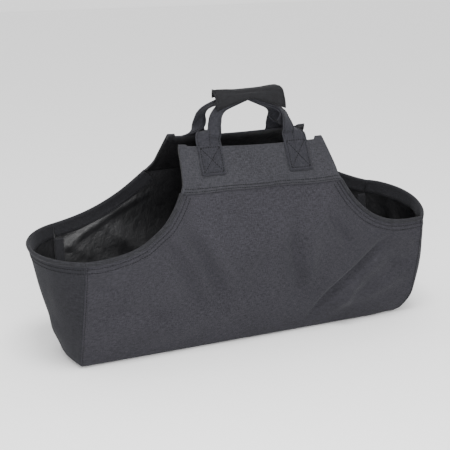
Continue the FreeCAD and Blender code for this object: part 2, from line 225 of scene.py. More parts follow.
def new_material(name):
    material = bpy.data.materials.new(name)
    material.use_nodes = True
    tree = material.node_tree
    tree.nodes.clear()
    shader = tree.nodes.new("ShaderNodeBsdfPrincipled")
    add_node(tree, "OutputMaterial", {0: shader.outputs[0]})
    return material, tree, shader


def cloth_place(tree):
    return add_node(tree, "Attribute", {}, attribute_name="cloth")["Vector"]


def object_place(tree):
    return add_node(tree, "TexCoord", {})["Object"]


def colour(*levels):
    """Screen values of 0 to 255 as scene light."""
    shares = [level / 255 for level in levels]
    light = [s / 12.92 if s < 0.04045 else ((s + 0.055) / 1.055) ** 2.4 for s in shares]
    return (*light, 1.0)


def math_of(tree, operation, *values):
    return add_node(tree, "Math", dict(enumerate(values)), operation=operation)[0]


def noise_of(tree, place, scale, detail, roughness):
    inputs = {"Vector": place, "Scale": scale, "Detail": detail, "Roughness": roughness}
    return add_node(tree, "TexNoise", inputs)[0]


def ramp_of(tree, factor, *stops):
    shade = add_node(tree, "ValToRGB", {0: factor})[0]
    for element, (place, level) in zip(shade.node.color_ramp.elements, stops):
        element.position = place
        element.color = level
    return shade


def bump_of(tree, height, distance, strength, after=None):
    inputs = {"Height": height, "Distance": distance, "Strength": strength, "Normal": after}
    return add_node(tree, "Bump", inputs)[0]


def woven(name, dark, light, pitch=1.5 * MM, sheen=0.05):
    """Plain-weave polyester cloth: a basket of raised threads that differ a little in tone, with
    slubs along both directions and a soft sheen. It reads the flat-cloth coordinates."""
    material, tree, shader = new_material(name)
    place = cloth_place(tree)
    split = add_node(tree, "SeparateXYZ", {0: place})
    turn = 2 * math.pi / pitch
    waves = [math_of(tree, "SINE", math_of(tree, "MULTIPLY", split[k], turn)) for k in (0, 1)]
    basket = math_of(tree, "MULTIPLY", *waves)
    # threads drawn out along each direction, so the cloth looks heathered
    streaks = []
    for stretch in ((120.0, 700.0, 1.0), (800.0, 180.0, 1.0)):
        drawn = add_node(tree, "Mapping", {"Vector": place, "Scale": stretch})[0]
        streaks.append(noise_of(tree, drawn, 1.0, 2.0, 0.6))
    heather = math_of(tree, "ADD", *streaks)
    cloudy = noise_of(tree, place, 14.0, 4.0, 0.55)
    tone = math_of(tree, "MULTIPLY", heather, 0.5)
    tone = math_of(tree, "MULTIPLY_ADD", cloudy, 0.14, tone)
    tone = math_of(tree, "MULTIPLY_ADD", basket, 0.20, tone)
    weave = bump_of(tree, basket, 0.12 * MM, 0.6)
    weave = bump_of(tree, heather, 0.10 * MM, 0.6, after=weave)
    creases = noise_of(tree, place, 60.0, 3.0, 0.55)
    fill(tree, shader, {
        "Base Color": ramp_of(tree, tone, (0.41, colour(*dark)), (0.77, colour(*light))),
        "Roughness": math_of(tree, "MULTIPLY_ADD", heather, 0.1, 0.78),
        "Specular IOR Level": 0.08,
        "Sheen Weight": sheen,
        "Sheen Roughness": 0.45,
        "Sheen Tint": (0.85, 0.86, 0.92, 1.0),
        "Normal": bump_of(tree, creases, 0.4 * MM, 0.35, after=weave),
    })
    return material


def coated(name):
    """The coated black reverse of the cloth: a thin glossy film, finely crinkled, with dull
    patches where it has been rubbed."""
    material, tree, shader = new_material(name)
    place = cloth_place(tree)
    broad = noise_of(tree, place, 9.0, 4.0, 0.6)
    crinkle = noise_of(tree, place, 55.0, 6.0, 0.62)
    fine = noise_of(tree, place, 260.0, 3.0, 0.6)
    glossy, dull = (0.40, 0.40, 0.40, 1), (0.66, 0.66, 0.66, 1)
    normal = bump_of(tree, crinkle, 3.2 * MM, 0.75)
    fill(tree, shader, {
        "Base Color": ramp_of(tree, broad, (0.3, colour(13, 13, 15)), (0.75, colour(31, 31, 33))),
        "Roughness": ramp_of(tree, crinkle, (0.3, glossy), (0.7, dull)),
        "Specular IOR Level": 0.4,
        "Coat Weight": 0.12,
        "Coat Roughness": 0.3,
        "Normal": bump_of(tree, fine, 0.35 * MM, 0.5, after=normal),
    })
    return material


def spun(name, dark, light):
    """Twisted polyester thread, or the pile of a closure tape."""
    material, tree, shader = new_material(name)
    grain = noise_of(tree, object_place(tree), 1400.0, 3.0, 0.6)
    fill(tree, shader, {
        "Base Color": ramp_of(tree, grain, (0.3, colour(*dark)), (0.7, colour(*light))),
        "Roughness": 0.8,
        "Specular IOR Level": 0.1,
        "Sheen Weight": 0.05,
        "Normal": bump_of(tree, grain, 0.2 * MM, 0.8),
    })
    return material


def pressed_board(name):
    """Black stiffening board with a fine leather-like emboss and lighter rubbed patches."""
    material, tree, shader = new_material(name)
    place = object_place(tree)
    cells = add_node(tree, "TexVoronoi", {"Vector": place, "Scale": 420.0})[0]
    rub = noise_of(tree, place, 22.0, 5.0, 0.6)
    fill(tree, shader, {
        "Base Color": ramp_of(tree, rub, (0.35, colour(27, 27, 29)), (0.8, colour(50, 50, 52))),
        "Roughness": 0.55,
        "Normal": bump_of(tree, cells, 0.15 * MM, 0.6),
    })
    return material


BODY = woven("body_cloth", (27, 27, 30), (54, 53, 58))
# The end panels have the body's cloth in a darker tone: painted shade, for the lesser light that
# falls on the ends.
SHADED_END_CLOTH = woven("end_cloth_painted_shade", (21, 21, 23), (42, 42, 46))
BAND = woven("band_cloth", (28, 28, 31), (57, 57, 61))
HEM = woven("hem_cloth", (22, 22, 24), (45, 45, 48))
STRAP = woven("strap_cloth", (24, 24, 27), (50, 50, 55), pitch=1.2 * MM)
GRIP = woven("grip_cloth", (19, 19, 20), (37, 37, 39), pitch=1.2 * MM, sheen=0.03)
REVERSE = coated("coated_reverse")
THREAD = spun("thread", (3, 3, 4), (14, 14, 15))
PILE = spun("closure_pile", (20, 20, 22), (46, 46, 49))
TAPE = spun("seam_tape", (22, 22, 24), (48, 48, 51))
BOARD = pressed_board("stiffening_board")


# ---- the shell's shape

# Each wall's rim sags between the end seam and the top band, by more at the front, where the
# cloth has been handled. FRONT and BACK are the signs of Y, LEFT and RIGHT those of X.
FRONT, BACK, LEFT, RIGHT = -1, 1, -1, 1
SIDES = ((FRONT, "front"), (BACK, "back"))
ENDS = ((LEFT, "left"), (RIGHT, "right"))
CORNERS = [
    (side, end, side_name, f"{side_name}_{end_name}")
    for side, side_name in SIDES for end, end_name in ENDS
]


def at_corners(*sizes):
    """Sizes in mm at front left, front right, back left and back right, as metres."""
    return {corner[:2]: size * MM for corner, size in zip(CORNERS, sizes)}


RIM_SAG = at_corners(32, 34, 17, 8)
SEAM_RISE = at_corners(2, 1, 9, 21)
TOP_RISE = at_corners(-1, -8, 4, 3)
BAND_DROP = at_corners(15, 20, 12, 12)
END_BULGE = {LEFT: END_X - SEAM_X - 3 * MM, RIGHT: END_X - SEAM_X - 35 * MM}
END_FULL = {LEFT: 5 * MM, RIGHT: 17 * MM}
END_RISE = {LEFT: -2 * MM, RIGHT: 7 * MM}
CORNER_TUCK = {LEFT: 4 * MM, RIGHT: 22 * MM}
# how much shorter and narrower than cut each end has pulled in at its rim
RIM_SHORT = {LEFT: 0 * MM, RIGHT: 5 * MM}
RIM_NARROW = {LEFT: 0 * MM, RIGHT: 4 * MM}
CORNER_HEIGHT = {LEFT: 16 * MM, RIGHT: 44 * MM}
FLOOR_ROUND = 9 * MM
TOP_SAG = 3.5 * MM

WALL_Z = [0, 0.35 * SEAM_Z, 0.7 * SEAM_Z, SEAM_Z, 0.5 * (SEAM_Z + BAND_Z), BAND_Z, TOP_Z]
WALL_Y = [BASE_Y + share * (SEAM_Y - BASE_Y) for share in (0, 0.40, 0.79)]
WALL_Y += [SEAM_Y, SEAM_Y - 8 * MM, BAND_Y, TOP_Y]


def floor_round(z):
    """How far the shell draws in at a height, round its lower edge."""
    below = np.clip(FLOOR_ROUND - z, 0, FLOOR_ROUND)
    return FLOOR_ROUND - np.sqrt(FLOOR_ROUND**2 - below**2)


def wall_out(z):
    """How far the long walls stand out from the middle at a height, before any fold."""
    out = curve_through(WALL_Z, WALL_Y, z)
    # the leaning top is stiff with its band, so it is straight from the band seam up
    lean = BAND_Y + (z - BAND_Z) * (TOP_Y - BAND_Y) / (TOP_Z - BAND_Z)
    return np.where(z > BAND_Z, lean, out) - floor_round(z)


def corner_tuck(z, end, share):
    low = np.square(np.clip(1 - z / CORNER_HEIGHT[end], 0, 1))
    return share * CORNER_TUCK[end] * low


def seam_x(z, end):
    """Half length of the long walls at a height: their ends are tucked in near the floor."""
    rise = np.clip(z / SEAM_Z, 0, 1)
    x = BASE_X + (SEAM_X - BASE_X) * rise - RIM_SHORT[end] * rise**3
    return x - corner_tuck(z, end, 1) - 0.5 * floor_round(z)


def seam_half(x, z):
    """Half length of the long walls at a height, at whichever end a place is nearer to."""
    return np.where(x < 0, seam_x(z, LEFT), seam_x(z, RIGHT))


def seam_y(z, end):
    narrow = RIM_NARROW[end] * np.clip(z / SEAM_Z, 0, 1) ** 3
    return wall_out(z) - corner_tuck(z, end, 0.3) - narrow


def seam_top(side, end):
    return SEAM_Z + SEAM_RISE[side, end]


def rim_run(side, end, count):
    """Points (x, z) of one sagging rim, from its end seam to the top band's lower corner."""
    start = np.array([end * seam_x(SEAM_Z, end), seam_top(side, end)])
    stop = np.array([end * BAND_X, BAND_Z + 0.6 * TOP_RISE[side, end]])
    t = np.linspace(0, 1, count)
    chord = stop - start
    down = np.array([-chord[1], chord[0]]) / np.linalg.norm(chord)
    if down[1] > 0:
        down = -down
    # an arc's sag along its chord, a little fuller near the band
    sag = RIM_SAG[side, end] * 4 * t * (1 - t) * (0.94 + 0.12 * t)
    return start + t[:, None] * chord + sag[:, None] * down


def rim_outline(side, arc=70, edge=14, top=60):
    """The long wall's whole upper edge, from the left seam to the right one."""
    left, right = rim_run(side, LEFT, arc), rim_run(side, RIGHT, arc)[::-1]
    corners = [np.array([end * TOP_X, TOP_Z + TOP_RISE[side, end]]) for end in (LEFT, RIGHT)]
    t = np.linspace(0, 1, edge)[1:, None]
    up = left[-1] + t * (corners[0] - left[-1])
    down = corners[1] + t * (right[0] - corners[1])
    t = np.linspace(0, 1, top)[1:, None]
    across = corners[0] + t * (corners[1] - corners[0])
    across[:, 1] -= TOP_SAG * np.sin(math.pi * t[:, 0])
    return np.concatenate([left, up, across, down, right[1:]])


# Folds in the cloth, in mm: x and z of one end and of the other, half width, depth (positive out).
FRONT_FOLDS = [
    (104, 38, 196, 137, 8, -9.6),
    (128, 32, 216, 126, 17, 5.6),
    (146, 44, 170, 76, 12, 3.9),
    (-124, 196, -76, 104, 11, -7.3),
    (-102, 192, -56, 112, 12, 6.2),
    (44, 176, 62, 86, 10, -8.1),
    (66, 186, 80, 100, 12, 6.8),
    (-166, 186, -104, 88, 13, -6.8),
    (-146, 196, -86, 96, 12, 3.4),
    (107, 200, 136, 150, 9, -6.8),
    (196, 168, 262, 128, 11, 4.9),
    (206, 118, 270, 96, 10, -4.9),
    (-278, 150, -240, 126, 7, -4.2),
    (-276, 166, -232, 154, 7, 2.9),
    (150, 40, 250, 70, 14, 4.4),
    (-30, 236, 30, 230, 18, -3.4),
    (-60, 66, 60, 48, 20, 3.9),
    (-240, 64, -110, 40, 18, 4.4),
    (-250, 96, -160, 70, 13, -3.6),
    (0, 150, -14, 84, 15, -3.9),
]
BACK_FOLDS = [
    (-60, 70, -190, 160, 12, -4.0),
    (-256, 152, -140, 213, 6, -3.0),
    (168, 204, 186, 120, 10, -3.8),
    (214, 190, 206, 128, 14, -3.0),
    (-90, 60, -200, 130, 14, 3.0),
    (60, 190, 80, 100, 16, -3.0),
    (-10, 200, -4, 110, 18, -2.4),
    (120, 60, 230, 140, 13, -3.2),
    (150, 150, 250, 120, 14, 2.4),
    (-262, 150, -226, 128, 9, -2.2),
    (262, 140, 230, 120, 9, -2.2),
]


def fold_depth(x, z, folds):
    total = np.zeros_like(x)
    for *line, width, depth in folds:
        a, b = np.reshape(line, (2, 2)) * MM
        run = b - a
        length = np.linalg.norm(run)
        along = ((x - a[0]) * run[0] + (z - a[1]) * run[1]) / length**2
        aside = ((x - a[0]) * run[1] - (z - a[1]) * run[0]) / length
        wander = 0.25 * width * MM * np.sin(along * 5.0 + line[0])
        ends = smooth((along + 0.3) / 0.5) * smooth((1.3 - along) / 0.5)
        total += depth * MM * ends * bump((aside - wander) / (width * MM))
    return total


def inside_seam(x, z):
    """How far a place on a long wall lies in from its nearer end seam."""
    return seam_half(x, z) - np.abs(x)


def held_still(x, z):
    """0 where the wall is held by the seams, the floor and the band; 1 in its middle."""
    near_floor = smooth(z / (30 * MM))
    near_end = smooth(inside_seam(x, z) / (26 * MM))
    near_band = smooth((BAND_Z + 4 * MM - z) / (26 * MM))
    return near_floor * near_end * near_band


def wall_y(x, z, side):
    """A long wall's signed Y at a place, with its corners, folds and slow waves."""
    share = np.clip(np.abs(x) / SEAM_X, 0, 1)
    base = wall_out(z)
    for end in (LEFT, RIGHT):
        near = smooth((x * end / SEAM_X - 0.72) / 0.28)
        base = base + near * (seam_y(z, end) - wall_out(z))
    # the long span bellies out a little between its seams, lower down
    belly = 3.0 * MM * (1 - share**2) * np.sin(math.pi * np.clip(z / BAND_Z, 0, 1))
    folds = FRONT_FOLDS if side == FRONT else BACK_FOLDS
    flat = np.stack([x.ravel(), z.ravel(), np.full(x.size, side * 0.3)], axis=1)
    slow = rough(flat, 0.11, 2.0 + side).reshape(x.shape) * 2.2 * MM
    slow += rough(flat, 0.035, 5.0 + side).reshape(x.shape) * 0.5 * MM
    moved = (fold_depth(x, z, folds) + slow + belly) * held_still(x, z)
    # the two end seams draw the cloth into small puckers
    pucker = bump((inside_seam(x, z) - 7 * MM) / (7 * MM))
    moved = moved + 0.5 * MM * pucker * np.sin(z / (5.5 * MM)) * smooth(z / (20 * MM))
    return side * (base + moved)


def rows_of(count):
    """Rows from the floor to the rim, closer together round the floor's edge."""
    t = np.linspace(0, 1, count)
    return np.where(t < 0.1, t * t * 2.5, 0.025 + (t - 0.1) * 0.975 / 0.9)


def seams_at(z):
    """Half lengths of the long walls at a height, to the left and to the right."""
    z = np.minimum(z, SEAM_Z)
    return seam_x(z, LEFT), seam_x(z, RIGHT)


def wall_points(side, rows=76):
    rim = rim_outline(side)
    length = run_along(rim)
    low = length / length[-1]
    left, right = seams_at(rim[:, 1])
    high = (rim[:, 0] + left) / (left + right)
    t = rows_of(rows)[:, None]
    z = t * rim[:, 1][None, :]
    share = low[None, :] + t * (high - low)[None, :]
    left, right = seams_at(z)
    x = -left + share * (left + right)
    return np.stack([x, wall_y(x, z, side), z], axis=2)


END_FOLDS = {
    LEFT: [(-40, 150, -8, 70, 16, -2.2), (30, 140, 12, 60, 18, -2.0),
           (-20, 60, 30, 40, 14, 1.6)],
    RIGHT: [(-52, 160, -20, 60, 10, -5.0), (-18, 165, 10, 80, 11, 4.0),
            (36, 160, 20, 50, 12, -5.0)],
}


def end_at(end):
    """The end panel's outer surface, by share round the end (-1 to 1) and height."""

    def point_at(across, z):
        rise = np.clip(z / SEAM_Z, 0, 1.12)
        turn = np.radians(24 + 50 * rise)
        bulge = 7 * MM + (END_BULGE[end] - 7 * MM) * rise
        bulge = bulge + END_FULL[end] * np.sin(math.pi * np.clip(rise, 0, 1) ** 0.8)
        bulge = bulge - 0.5 * floor_round(z)
        angle = across * turn
        stand = (np.cos(angle) - np.cos(turn)) / (1 - np.cos(turn))
        x = seam_x(z, end) + bulge * stand
        y = seam_y(z, end) * np.sin(angle) / np.sin(turn)
        quiet = smooth(z / (24 * MM)) * smooth((1 - np.abs(across)) / 0.22)
        flat = np.stack([y.ravel(), z.ravel(), np.full(x.size, end * 0.7)], axis=1)
        slow = rough(flat, 0.08, 8.0 + end).reshape(x.shape) * 2.4 * MM
        x = x + (fold_depth(y, z, END_FOLDS[end]) + slow) * quiet
        return np.stack([end * x, y, z], axis=-1)

    return point_at


def end_rim(end, across):
    front, back = seam_top(FRONT, end), seam_top(BACK, end)
    return front + (back - front) * (across + 1) / 2 + END_RISE[end] * np.cos(across * math.pi / 2)


def end_points(end, rows=60, columns=64):
    """An end panel, from its front seam round to its back seam, rows from floor to rim."""
    across = np.linspace(-1, 1, columns)[None, :] * np.ones((rows, 1))
    return end_at(end)(across, rows_of(rows)[:, None] * end_rim(end, across))


def plan_shares(rows, columns):
    """Shares (-1 to 1) along the bag and across it, for a grid seen from above."""
    return np.linspace(-1, 1, columns)[None, :], np.linspace(-1, 1, rows)[:, None]


def floor_points(rows=26, columns=120):
    """The floor's cloth, flat on the ground inside the walls' turned-under edges."""
    share, across = plan_shares(rows, columns)
    depth = wall_out(0.0) - 1 * MM
    x = share * (seam_half(share, 0.0) + 5 * MM * (1 - across**2) - 2 * MM)
    y = across * depth * np.ones_like(share)
    return np.stack([x, y, np.full(x.shape, 1.2 * MM)], axis=2)


# ---- the shell's pieces


def outward_sheet(name, points, outer, inner, flip, node, thickness=1.6 * MM):
    """A cloth piece whose listed points are its outer face, with its reverse inside."""
    made = cloth_object(name, points, outer, inner, flip=flip)
    thicken(made, thickness, inner_slot=1)
    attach(made, "bag")
    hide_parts(node)
    return made


def make_shell():
    for side, name in SIDES:
        points = wall_points(side)
        made = outward_sheet(f"{name}_wall", points, BODY, REVERSE, side == BACK, f"{name}_panel")
    for end, name in ENDS:
        points = end_points(end)
        made = outward_sheet(f"{name}_end", points, SHADED_END_CLOTH, REVERSE, end == LEFT, f"{name}_end_panel")
    made = outward_sheet(
        "floor_cloth", floor_points(), REVERSE, BODY, False, "base_panel", thickness=1.0 * MM
    )


def make_board(rows=14, columns=90):
    """The stiffening board on the floor, its corners cut to the bag's tucked-in ones."""
    share, across = plan_shares(rows, columns)
    x = share * (seam_half(share, 3 * MM) - 4 * MM + 3 * MM * (1 - across**4))
    y = across * (BASE_Y - 5 * MM) * np.ones_like(share)
    bow = 0.4 * MM * np.cos(share * math.pi / 2) * (1 - across**2)
    made = grid_object("floor_board", np.stack([x, y, 5 * MM + bow * np.ones_like(y)], axis=2))
    dress(made, BOARD)
    thicken(made, 2.4 * MM)
    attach(made, "bag")
    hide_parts("base_board")


# ---- strips that follow the rims


def strip_object(name, lines, thickness, material, flip=False, turned=None):
    """A strip of cloth through several long lines of points, side by side. From the line numbered
    turned, if there is one, the coated reverse shows."""
    points = np.array(lines)
    made = cloth_object(name, points, material, material, REVERSE, REVERSE, flip=flip)
    if turned:
        first = (turned - 1) * (points.shape[1] - 1)
        for polygon in made.data.polygons:
            polygon.material_index = 2 if polygon.index >= first else 0
    thicken(made, thickness, inner_slot=1)
    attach(made, "bag")
    return made


def outward_of(point_at, a, b, steps, axis, sign):
    """Unit normals, by differences, of a surface given by two coordinates, turned to one side
    along an axis."""
    along_a = point_at(a + steps[0], b) - point_at(a - steps[0], b)
    along_b = point_at(a, b + steps[1]) - point_at(a, b - steps[1])
    normal = unit(np.cross(along_a, along_b))
    return normal * (np.sign(normal[..., axis]) * sign)[..., None]


def wall_at(side):
    def point_at(x, z):
        return np.stack([x, wall_y(x, z, side), z], axis=-1)

    return point_at


def wall_outward(side, x, z):
    return outward_of(wall_at(side), x, z, (0.8 * MM, 0.8 * MM), 1, side)


def off_wall(side, x, z, out):
    """Points at a distance out from a long wall's outer face."""
    out = np.broadcast_to(out, np.shape(x))[..., None]
    return wall_at(side)(x, z) + wall_outward(side, x, z) * out


def rim_normals(run):
    """Unit vectors in the wall's (x, z) plane, from a rim into the cloth."""
    along = unit(np.gradient(run, axis=0))
    inward = np.stack([along[:, 1], -along[:, 0]], axis=1)
    return np.where(inward[:, 1:2] > 0, -inward, inward)


STITCH_DROPS = (9 * MM, 15 * MM)
HEM_CLOTH = 0.7 * MM

# A hem's section: distance below the rim and distance out of the cloth's outer face, in mm.
HEM_SECTION = [
    (4.2, 0.1), (3.0, 0.75), (1.2, 1.05), (-0.4, 0.9), (-1.3, 0.0), (-1.5, -1.1), (-1.1, -2.2),
    (0.4, -2.9), (3, -2.7), (8, -2.5), (13, -2.5), (17, -2.6), (20, -2.6), (21, -1.9),
]


def wall_line(side, run, inward, below, out):
    place = run + inward * below
    return off_wall(side, place[:, 0], place[:, 1], out)


def hem_run(side, end, count=120):
    """The rim that a hem covers, up to just under the band's lower seam."""
    run = rim_run(side, end, 400)
    run = run[run[:, 1] < band_low(side, end) + 2 * MM]
    pick = np.linspace(0, len(run) - 1, count)
    return np.stack([np.interp(pick, np.arange(len(run)), run[:, k]) for k in (0, 1)], axis=1)


def end_outward(end, across, z):
    return outward_of(end_at(end), across, z, (0.01, MM), 0, end)


def end_line(end, across, below, out):
    z = end_rim(end, across) - below
    return end_at(end)(across, z) + end_outward(end, across, z) * out


# ---- stitching


STITCH_LENGTH = 2.9 * MM
STITCH_GAP = 0.9 * MM
STITCH_RADIUS = 0.45 * MM
STITCH_SIDES = 6
# rings of points round a stitch: place along it as a share of its length, and thickness
STITCH_RINGS = [(-0.5, 0.35), (-0.36, 0.9), (0.0, 1.0), (0.36, 0.9), (0.5, 0.35)]


def stitch_faces():
    """Faces of one stitch: a tube from ring to ring, and a cap at both ends."""
    faces = []
    last = (len(STITCH_RINGS) - 1) * STITCH_SIDES
    for low in range(0, last, STITCH_SIDES):
        high = low + STITCH_SIDES
        for k in range(STITCH_SIDES):
            after = (k + 1) % STITCH_SIDES
            faces.append([low + k, low + after, high + after, high + k])
    faces.append(list(reversed(range(STITCH_SIDES))))
    faces.append(list(range(last, last + STITCH_SIDES)))
    return faces


def one_stitch(start, stop, up, tilt):
    """Points of one rounded stitch that lies on a face, a little turned out of its line."""
    up = up / np.linalg.norm(up)
    along = stop - start
    aside = np.cross(along, up)
    aside /= max(np.linalg.norm(aside), 1e-9)
    points = []
    for place, size in STITCH_RINGS:
        centre = (start + stop) / 2 + along * place + aside * tilt * place
        centre = centre + up * STITCH_RADIUS * (0.9 * size - 0.35)
        for angle in np.arange(STITCH_SIDES) / STITCH_SIDES * 2 * math.pi:
            outward = aside * math.cos(angle) + up * math.sin(angle)
            points.append(tuple(centre + outward * STITCH_RADIUS * size))
    return points


def place_along(line, far, distance):
    return np.array([np.interp(distance, far, line[:, k]) for k in range(3)])


def stitched(name, paths, body="bag", replaces=(), seed=1):
    """Rows of stitches along lines of points with outward normals, as one piece."""
    pattern = stitch_faces()
    vertices, faces = [], []
    wobble = np.random.default_rng(50 + seed)
    for line, normals in paths:
        far = run_along(line)
        count = max(int(far[-1] / (STITCH_LENGTH + STITCH_GAP)), 1)
        for middle in (np.arange(count) + 0.5) * far[-1] / count:
            start = place_along(line, far, middle - STITCH_LENGTH / 2)
            stop = place_along(line, far, middle + STITCH_LENGTH / 2)
            up = place_along(normals, far, middle)
            tilt = 0.05 * STITCH_LENGTH * wobble.standard_normal()
            faces += [[len(vertices) + k for k in face] for face in pattern]
            vertices += one_stitch(start, stop, up, tilt)
    made = mesh_object(name, vertices, faces)
    dress(made, THREAD)
    if body:
        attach(made, body)
    if replaces:
        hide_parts(*replaces)
    return made


def rim_stitches(line_at, normals_at):
    """Two rows of stitches outside along a rim, and one on the hem inside."""
    lines = [(line_at(drop, 0.1 * MM), normals_at(drop)) for drop in STITCH_DROPS]
    drop = STITCH_DROPS[1]
    return lines + [(line_at(drop + 3 * MM, -3.1 * MM), -normals_at(drop))]


def make_wall_hem(side, end, side_name, corner):
    run = hem_run(side, end, 120)
    inward = rim_normals(run)
    lines = []
    for below, out in HEM_SECTION:
        flutter = 0.35 * MM * np.sin(run[:, 0] / (17 * MM)) * min(max(below, 0) / 20, 1)
        lines.append(wall_line(side, run, inward, below * MM, out * MM + flutter))
    made = strip_object(f"{corner}_hem", lines, HEM_CLOTH, HEM, flip=(side * end > 0))
    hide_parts(f"{side_name}_rim_hems")
    run = hem_run(side, end, 160)
    inward = rim_normals(run)
    lines = rim_stitches(
        lambda below, out: wall_line(side, run, inward, below, out),
        lambda drop: wall_outward(side, *(run + inward * drop).T),
    )
    stitched(f"{corner}_rim_stitching", lines, seed=side + 2 * end)


def make_end_hem(end, name):
    across = np.linspace(-1, 1, 110)
    lines = [end_line(end, across, below * MM, out * MM) for below, out in HEM_SECTION]
    made = strip_object(f"{name}_end_hem", lines, HEM_CLOTH, HEM, flip=(end > 0))
    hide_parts(f"{name}_end_rim_hem")
    across = np.linspace(-0.985, 0.985, 150)
    lines = rim_stitches(
        lambda below, out: end_line(end, across, below, out),
        lambda drop: end_outward(end, across, end_rim(end, across) - drop),
    )
    stitched(f"{name}_end_rim_stitching", lines, seed=5 + end)


def make_seam(side, end, side_name, corner):
    """A tape down the inside of one corner, and a row of stitches beside it outside."""
    z = np.linspace(10 * MM, seam_top(side, end) - 22.5 * MM, 50)
    lines = []
    for inset, out in ((1.5, -2.0), (3, -2.6), (9, -2.5), (15, -2.6), (16.5, -2.0)):
        x = end * (seam_x(z, end) - inset * MM)
        lines.append(off_wall(side, x, z, out * MM))
    made = strip_object(f"{corner}_tape", lines, HEM_CLOTH, TAPE, flip=(side * end < 0))
    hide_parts(f"{corner}_seam_tape")
    z = np.linspace(6 * MM, seam_top(side, end) - 5 * MM, 80)
    x = end * (seam_x(z, end) - 3 * MM)
    path = (off_wall(side, x, z, 0.1 * MM), wall_outward(side, x, z))
    stitched(f"{corner}_seam_stitching", [path], seed=11 + side + 2 * end)


# ---- top bands

EAR_WIDTH = 15 * MM
EAR_RISE = 4.0 * MM


def band_top(side, share):
    """Height of the top edge at a share (-1 to 1) along it, with its raised corner ears."""
    left, right = TOP_Z + TOP_RISE[side, LEFT], TOP_Z + TOP_RISE[side, RIGHT]
    level = left + (right - left) * (share + 1) / 2
    level = level - TOP_SAG * np.cos(share * math.pi / 2)
    ear = smooth((np.abs(share) - (1 - EAR_WIDTH / TOP_X)) / 0.035)
    return level + EAR_RISE * ear * (0.75 + 0.25 * np.sign(share) * -side)


def band_low(side, share):
    """Height of the band's lower seam, which hangs a little below the rims' upper ends."""
    left, right = BAND_DROP[side, LEFT], BAND_DROP[side, RIGHT]
    level = BAND_Z - left - (right - left) * (share + 1) / 2
    return level + 0.5 * MM * np.sin(share * 9 + side)


def band_half(side, end, z):
    """Half length of the band at a height: along the rim below, slanting in above."""
    run = rim_run(side, end, 120)
    rim = np.interp(z, run[:, 1], np.abs(run[:, 0]))
    above = BAND_X + (TOP_X - BAND_X) * (z - BAND_Z) / (TOP_Z - BAND_Z)
    return np.where(z < BAND_Z + 0.6 * TOP_RISE[side, end], rim, np.minimum(above, BAND_X))


def band_point(side, share, height, out):
    """A point of the band: height 0 at its lower seam, 1 at the top edge."""
    low = band_low(side, share)
    z = low + (band_top(side, share) - low) * height
    half = np.where(share < 0, band_half(side, LEFT, z), band_half(side, RIGHT, z))
    return off_wall(side, share * half, z, out)


def band_sag(share, height):
    """Slack in the band between the two handle feet, and a soft roll at its side edges."""
    slack = 0.8 * MM * np.sin(share * 7.3 + 1.0) * np.sin(math.pi * np.clip(height, 0, 1))
    return slack + 0.5 * MM * bump((np.abs(share) - 0.955) / 0.03)


def band_face(share, height):
    """How far the band's outer face stands out, with a lip over its lower seam."""
    return band_sag(share, height) + 0.8 * MM * (1 - smooth(height / 0.08))


def make_band(side, name):
    share = np.linspace(-1, 1, 150)
    lines = [band_point(side, share, -0.006, 0.7 * MM)]
    for height in (0.0, 0.03, 0.07, 0.12, 0.2, 0.3, 0.42, 0.55, 0.68, 0.8, 0.9, 0.96):
        lines.append(band_point(side, share, height, 1.0 * MM + band_face(share, height)))
    for height, out in ((1.0, 0.6), (1.022, -0.6), (1.022, -1.6), (1.0, -2.8)):
        lines.append(band_point(side, share, height, out * MM))
    # inside, a rolled fold stands just below the edge, then the facing runs down to its seam
    for height, out in ((0.95, -4.2), (0.9, -4.8), (0.84, -4.0), (0.76, -3.0), (0.6, -2.7),
                        (0.4, -2.8), (0.2, -2.7), (0.06, -2.7), (0.02, -2.0)):
        roll = 0.6 * MM * np.sin(share * 11 + 2 * side) * bump((height - 0.9) / 0.1)
        lines.append(band_point(side, share, height, out * MM + roll))
    made = strip_object(name, lines, 0.8 * MM, BAND, flip=(side == BACK), turned=17)
    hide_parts(name.replace("_band", "_top_band"))
    rows = []
    share = np.linspace(-0.975, 0.975, 200)
    for height in (0.035, 0.105):
        line = band_point(side, share, height, 1.05 * MM + band_face(share, height))
        rows.append((line, wall_outward(side, line[:, 0], line[:, 2])))
    stitched(f"{name}_topstitching", rows, seed=20 + side,
             replaces=[name.replace("_band", "_band_stitching")])


# ---- the carrying straps

STRAP_HALF = STRAP_WIDTH / 2
STRAP_CLOTH = 1.8 * MM
STRAP_LIFT = 317 * MM
# where each strap's inner edge turns in to the grip: (x, z) in mm, without the end's sign
STRAP_CORNER = {
    (FRONT, LEFT): (47, 360), (FRONT, RIGHT): (55, 357),
    (BACK, LEFT): (58, 361), (BACK, RIGHT): (55, 353),
}
STRAP_PEAK = 374 * MM
# how far up each free strap starts to turn on edge
TURN_START = at_corners(0, 0, 11, 0)
FOOT_DROP = {LEFT: 1 * MM, RIGHT: 6 * MM}
FOOT_SLANT = 4 * MM
STRAP_APART = 17.0 * MM
STRAP_TILT = math.radians(32)
SEWN_TOP = 312 * MM
FOOT_ROWS = 24
FREE_ROWS = 72
FLAT_COLUMNS = np.unique(np.concatenate([np.linspace(-1, 1, 21), np.linspace(-0.12, 0.12, 9)]))


def foot_surface(side, x, z, out):
    """A point at a distance out from the band, or from the band's plane above its edge."""
    share = x / (BAND_X + (TOP_X - BAND_X) * (z - BAND_Z) / (TOP_Z - BAND_Z))
    low = band_low(side, share)
    height = (z - low) / (band_top(side, share) - low)
    return off_wall(side, x, z, out + band_sag(share, height))


